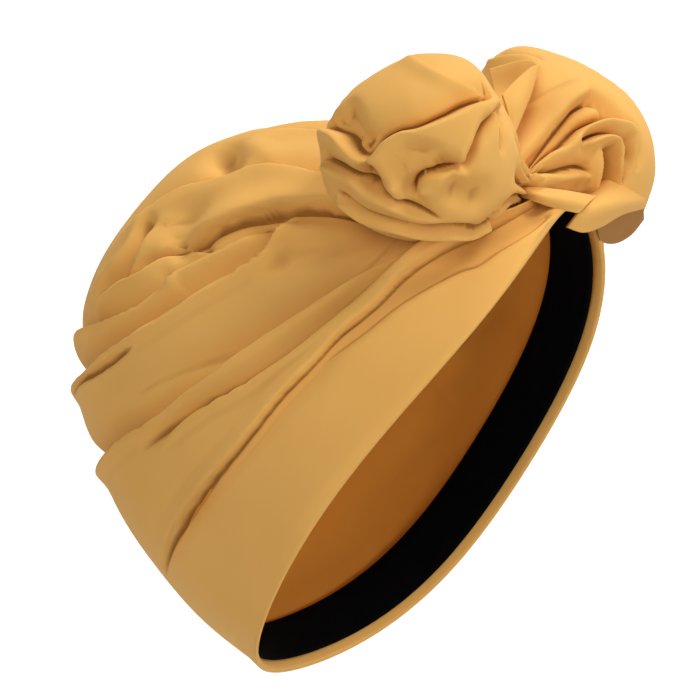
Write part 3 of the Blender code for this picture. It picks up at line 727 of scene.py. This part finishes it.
def make_crown(material, painted_shade_lining):
    """The pleated cap: folded outside, rolled hem and a smoother inside."""
    turns = round_turns(CROWN_COLUMNS)
    outside = crown_outside(turns)
    inside = crown_inside(turns)
    rim = crown_block(turns, np.zeros_like(turns))
    out_of_opening = unit(rim - crown_block(turns, np.full_like(turns, ROLL_CLIMB)))
    roll = (outside[0] + inside[0]) / 2 + HEM_ROLL * out_of_opening
    mesh = grid_mesh("crown_cloth", [*outside[::-1], roll, *inside])
    piece = add_piece("crown_cloth", mesh, material, "turban_cloth", "crown")
    # The inside takes the cloth whose redder tones are painted shade
    mesh.materials.append(painted_shade_lining)
    outer_faces = (len(outside) + 2) * len(turns)
    mesh.polygons.foreach_set("material_index", [int(k >= outer_faces) for k in range(len(mesh.polygons))])
    tidy_mesh(mesh, CROWN_WELD)
    return piece


def make_band(material):
    """The stretch band inside the rim, with rounded edges."""
    turns = round_turns(BAND_COLUMNS)
    depths = BAND_INSET + BAND_WIDTH * np.linspace(0.0, 1.0, BAND_ROWS)
    places = np.array([[ring_at_depth(turn, depth) for turn in turns] for depth in depths])
    points, normals = block_point(np.broadcast_to(turns, places.shape), places)
    outer = points - BAND_OUTER_SIDE * normals
    from_middle = np.abs(np.linspace(-1, 1, BAND_ROWS))
    swell = np.sqrt(np.clip(1 - from_middle ** BAND_EDGE_POWER, BAND_EDGE_LEAST, 1))[:, None, None]
    inner = points - (BAND_OUTER_SIDE + BAND_THICKNESS * swell) * normals
    mesh = grid_mesh("stretch_band", np.concatenate([outer, inner[::-1]]), closed_on=True)
    piece = add_piece("stretch_band", tidy_mesh(mesh), material, "stretch_band", "inner_band")
    return piece


def outline_reach(outline, spin):
    """A puff's reach in a direction spin round from the right hand, a share of PUFF_RADIUS."""
    step = 2 * math.pi / len(outline)
    places = step * np.arange(-2, len(outline) + 3)
    return through(places, outline[-2:] + outline + outline[:3], np.mod(spin, 2 * math.pi), False)


def seen_on(tree, centre, places, far):
    """Where the camera sees flat places, given in shares from the puff's middle, on the puff's surface."""
    through_middle = centre + PUFF_RADIUS * (places[:, :1] * LOOK_RIGHT + places[:, 1:] * VIEW_UP)
    spots = []
    for place in through_middle:
        ray = Vector(place - EYE).normalized()
        start = Vector(place) + FAR_START * ray if far else Vector(EYE)
        spot = tree.ray_cast(start, -ray if far else ray)
        if spot[0] is not None:
            spots.append((*spot[0], *spot[1]))
    spots = np.array(spots)
    return spots[:, :3], spots[:, 3:]


def necked(radius, directions, centre, knot, neck):
    """The radius of a puff drawn out to the knot in a cone."""
    tip, length = neck
    cosine = directions @ unit(knot - centre)
    ahead = np.clip(cosine, LEAST_COSINE, 1)
    tangent = np.sqrt(1 - ahead ** 2) / ahead
    along = np.minimum((tip + NECK_TAPER * length) / (tangent + NECK_TAPER), length)
    cone = along / ahead * (cosine > LEAST_COSINE)
    return (radius ** NECK_POWER + cone ** NECK_POWER) ** (1 / NECK_POWER)


def gathers(points, directions, centre, knot):
    """Waves that run from the knot over the side of a puff that the camera doesn't see."""
    axis = unit(knot - centre)
    first = unit(np.cross(axis, VIEW_FROM))
    second = np.cross(axis, first)
    spin = np.arctan2(directions @ first, directions @ second)
    near = np.exp(-np.linalg.norm(points - knot, axis=1) / GATHER_REACH)
    wave = np.sin(GATHER_WAVES * spin + GATHER_SWAY * np.sin(GATHER_SWAYS * spin))
    return GATHER_HEIGHT * wave * near * smooth_step(*GATHER_SPAN, -directions @ VIEW_FROM)


def reach_to(tree, centre, directions, limit):
    """How far each direction runs from the centre before it meets the tree's surface, at most its limit."""
    reach = np.array(limit)
    for k, direction in enumerate(directions):
        distance = tree.ray_cast(Vector(centre), Vector(direction), reach[k] + SEAT_GAP)[3]
        if distance is not None:
            reach[k] = distance - SEAT_GAP
    return reach


def grid_normals(rows):
    """Unit normals of a closed grid of points, rows by columns."""
    along = np.gradient(rows, axis=0)
    around = np.roll(rows, -1, axis=1) - np.roll(rows, 1, axis=1)
    return unit(np.cross(around, along) + TINY)


def plain_puff(puff, centre, knot, tree):
    """A puff without folds, seated on the crown and drawn out to the knot: its directions and its points."""
    _, _, _, _, (towards, away), outline, _, neck = puff
    polar = np.linspace(PUFF_POLE, math.pi - PUFF_POLE, PUFF_RINGS)[:, None]
    spin = round_turns(PUFF_SECTORS)[None, :]
    flat = np.sin(polar)[..., None] * (np.cos(spin)[..., None] * LOOK_RIGHT
                                       + np.sin(spin)[..., None] * LOOK_UP)
    directions = (flat + np.cos(polar)[..., None] * LOOK_FROM).reshape(-1, 3)
    thickness = away + (towards - away) * smooth_step(*BULK_BLEND, np.cos(polar))
    radius = 1 / np.hypot(np.sin(polar) / outline_reach(outline, spin), np.cos(polar) / thickness)
    limit = necked(PUFF_RADIUS * radius.ravel(), directions, centre, knot, neck)
    return directions, centre + reach_to(tree, centre, directions, limit)[:, None] * directions


def puff_shift(folds, base, directions, centre, knot):
    """How far a puff's gathers and folds move each of its points."""
    shape = (PUFF_RINGS, PUFF_SECTORS)
    normals = grid_normals(base.reshape(*shape, 3)).reshape(-1, 3)
    normals *= np.sign((normals * directions).sum(1))[:, None]
    own_tree = BVHTree.FromPolygons(base.tolist(), grid_faces(*shape).reshape(-1, 4).tolist())
    lift = gathers(base, directions, centre, knot)
    slide = np.zeros_like(base)
    for places, left, right, left_width, right_width, edge, lap, fades, far in folds:
        line, facing = seen_on(own_tree, centre, smooth_line(places, FOLD_POINTS), far)
        facing *= np.sign((facing * (line - centre)).sum(1))[:, None]
        if far:
            line, facing, fades = line[::-1], facing[::-1], fades[::-1]
        fold = (left, right, left_width, right_width, edge, lap, fades)
        add_out, add_over = fold_shift(base, normals, line, facing, fold, PUFF_FOLD_SCALE)
        lift += add_out
        slide += add_over
    return lift[:, None] * normals, slide


def make_puff(puff, tree, material):
    """A gathered puff of wound cloth, seated on the crown and drawn out to the knot."""
    name, across, forward, out, _, _, folds, _ = puff
    centre = off_chart(across, forward, out * PUFF_RADIUS)
    knot = off_chart(*KNOT_PLACE, KNOT_LIFT)
    directions, base = plain_puff(puff, centre, knot, tree)
    lift, slide = puff_shift(folds, base, directions, centre, knot)
    moved = base + lift + slide
    directions = unit(moved - centre)
    reach = reach_to(tree, centre, directions, np.linalg.norm(moved - centre, axis=1))
    rows = (centre + reach[:, None] * directions).reshape(PUFF_RINGS, PUFF_SECTORS, 3)
    mesh = tidy_mesh(grid_mesh(name, rows, capped=True), PUFF_WELD)
    piece = add_piece(name + "_cloth", mesh, material, "turban_cloth", name)
    return piece


def spread(table, rows, columns):
    """A smooth surface through a short table of points, as a finer grid."""
    table = np.array(table)
    down = np.linspace(0, len(table) - 1, rows)
    across = np.linspace(0, table.shape[1] - 1, columns)
    fine = np.stack([[through(range(table.shape[1]), line[:, k], across, False) for line in table]
                     for k in range(3)], -1)
    return np.stack([[through(range(len(table)), fine[:, c, k], down, False) for c in range(columns)]
                     for k in range(3)], -1).transpose(1, 0, 2)


def make_sheet(sheet, cloths):
    """A loose edge of cloth on the knot, a thin closed shell."""
    name, table, thickness, flat, cloth, node = sheet
    seen = spread(table, SHEET_ROWS, SHEET_COLUMNS) * MM
    middle = seen[..., :1] * LOOK_RIGHT + seen[..., 1:2] * VIEW_UP + seen[..., 2:] * VIEW_FROM
    along = np.gradient(middle, axis=0)
    across = np.gradient(middle, axis=1)
    normals = unit(np.cross(along, across) + TINY)
    front = middle + thickness / 2 * normals
    back = middle - thickness / 2 * normals
    rows = np.concatenate([front, back[:, ::-1]], axis=1)
    mesh = tidy_mesh(grid_mesh(name, rows, sewn=True))
    piece = add_piece(name, mesh, cloths[cloth], "turban_cloth", *([node] if node else []))
    return piece


def set_inputs(node, values):
    """Sets a node's inputs from their names and values."""
    for name, value in values.items():
        node.inputs[name].default_value = value


def new_material(name, values):
    """A material, its node tree and its shader with the values of a table."""
    material = bpy.data.materials.new(name)
    material.use_nodes = True
    shader = material.node_tree.nodes["Principled BSDF"]
    set_inputs(shader, values)
    return material, material.node_tree, shader


def object_noise(tree, values):
    """Noise over an object's own coordinates."""
    coords = tree.nodes.new("ShaderNodeTexCoord")
    noise = tree.nodes.new("ShaderNodeTexNoise")
    set_inputs(noise, values)
    tree.links.new(coords.outputs["Object"], noise.inputs["Vector"])
    return noise.outputs["Fac"]


def add_knit(tree, shader, scale, strength):
    """Gives a shader the relief of a fine knit."""
    bump = tree.nodes.new("ShaderNodeBump")
    set_inputs(bump, {"Strength": strength, "Distance": KNIT_DEPTH})
    tree.links.new(object_noise(tree, {"Scale": scale, **KNIT_NOISE}), bump.inputs["Height"])
    tree.links.new(bump.outputs["Normal"], shader.inputs["Normal"])


def crease_shade(tree, colour):
    """The cloth's colour with painted shade in the creases, deeper and redder there, where light only comes
    off other cloth.
    """
    nodes, links = tree.nodes, tree.links
    shape = nodes.new("ShaderNodeNewGeometry")
    # depth: how much painted crease shade each point gets, from its hollowness
    depth = nodes.new("ShaderNodeMapRange")
    set_inputs(depth, CREASE_SHADE_RANGE)
    links.new(shape.outputs["Pointiness"], depth.inputs["Value"])
    mix = nodes.new("ShaderNodeMix")
    mix.data_type = "RGBA"
    mix.inputs[MIX_SECOND].default_value = CREASE_SHADE_COLOUR
    links.new(depth.outputs["Result"], mix.inputs[MIX_FACTOR])
    links.new(colour, mix.inputs[MIX_FIRST])
    return mix.outputs[MIX_RESULT]


def cloth_material(name, *tones):
    """Smooth cotton jersey with a soft sheen, its colour between two tones and painted shade in its creases.
    """
    material, tree, shader = new_material(name, CLOTH_SHADER)
    colour = tree.nodes.new("ShaderNodeValToRGB")
    for element, position, tone in zip(colour.color_ramp.elements, TONE_SPAN, tones):
        element.position = position
        element.color = (*tone, 1.0)
    tree.links.new(object_noise(tree, TONE_NOISE), colour.inputs["Fac"])
    tree.links.new(crease_shade(tree, colour.outputs["Color"]), shader.inputs["Base Color"])
    add_knit(tree, shader, *CLOTH_KNIT)
    return material


def band_material():
    """Black brushed stretch band."""
    material, tree, shader = new_material("black_stretch_band", BAND_SHADER)
    add_knit(tree, shader, *BAND_KNIT)
    return material


def make_stage():
    """A wide pale bowl: a floor far under the headwrap that curves up into a wall all round."""
    bend = [(STAGE_RADIUS - STAGE_BEND * (1 - math.sin(a)), STAGE_FLOOR + STAGE_BEND * (1 - math.cos(a)))
            for a in np.linspace(0.0, math.pi / 2, STAGE_BEND_ROWS)]
    profile = [(0.0, STAGE_FLOOR), *bend, (STAGE_RADIUS, STAGE_TOP)]
    spin = round_turns(STAGE_SIDES)[:, None]
    rows = [reach * (np.cos(spin) * LOOK_RIGHT + np.sin(spin) * LOOK_FROM) + height * LOOK_UP
            for reach, height in profile]
    mesh = tidy_mesh(grid_mesh("backdrop", rows))
    mesh.flip_normals()
    mesh.materials.append(new_material("pale_stage", STAGE_SHADER)[0])
    stage = bpy.data.objects.new("backdrop", mesh)
    bpy.context.scene.collection.objects.link(stage)


def add_light(name, place, size, power, target):
    """A soft square light aimed at a target."""
    data = bpy.data.lights.new(name, "AREA")
    data.shape = "SQUARE"
    data.size = size
    data.energy = power
    light = bpy.data.objects.new(name, data)
    light.location = place
    aim = Vector(target) - Vector(place)
    light.rotation_euler = aim.to_track_quat("-Z", "Y").to_euler()
    bpy.context.scene.collection.objects.link(light)


def make_light():
    """Soft studio light from above and in front, a light for the backdrop, and a faint one all round."""
    wall = -LOOK_FROM * STAGE_RADIUS - LOOK_UP * WALL_AIM_DROP
    for name, towards, right, up, size, power in LIGHTS:
        place = LOOK_FROM * towards + LOOK_RIGHT * right + LOOK_UP * up
        add_light(name, place, size, power, wall if name == "backdrop_light" else LIGHT_AIM)
    world = bpy.data.worlds.new("studio")
    world.use_nodes = True
    background = world.node_tree.nodes["Background"]
    set_inputs(background, {"Color": (1.0, 1.0, 1.0, 1.0), "Strength": WORLD_STRENGTH})
    bpy.context.scene.world = world


def make_camera():
    """The photo's camera: nearly level, far back and with a long lens."""
    data = bpy.data.cameras.new("camera")
    data.lens = CAMERA_LENS
    data.sensor_width = CAMERA_SENSOR
    data.shift_x, data.shift_y = CAMERA_SHIFT
    data.clip_start = CAMERA_NEAR
    camera = bpy.data.objects.new("camera", data)
    camera.location = EYE
    camera.rotation_euler = Vector(-EYE).to_track_quat("-Z", "Y").to_euler()
    bpy.context.scene.collection.objects.link(camera)
    bpy.context.scene.camera = camera


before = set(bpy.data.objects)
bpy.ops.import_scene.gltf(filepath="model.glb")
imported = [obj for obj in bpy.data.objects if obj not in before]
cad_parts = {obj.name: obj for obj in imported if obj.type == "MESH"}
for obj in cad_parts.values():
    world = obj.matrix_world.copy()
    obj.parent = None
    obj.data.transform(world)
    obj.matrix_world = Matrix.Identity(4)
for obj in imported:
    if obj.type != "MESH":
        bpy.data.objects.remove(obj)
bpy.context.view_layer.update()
make_camera()
make_light()
make_stage()
bpy.context.scene.view_settings.view_transform = "Standard"
cloths = {name: cloth_material(name, darker, lighter) for name, darker, lighter in CLOTHS}
jersey = cloths["mustard_jersey"]
black = band_material()
crown = make_crown(jersey, cloths["mustard_inside_painted_shade"])
make_band(black)
crown_tree = BVHTree.FromObject(crown, bpy.context.evaluated_depsgraph_get())
for puff in PUFFS:
    make_puff(puff, crown_tree, jersey)
for sheet in SHEETS:
    make_sheet(sheet, cloths)
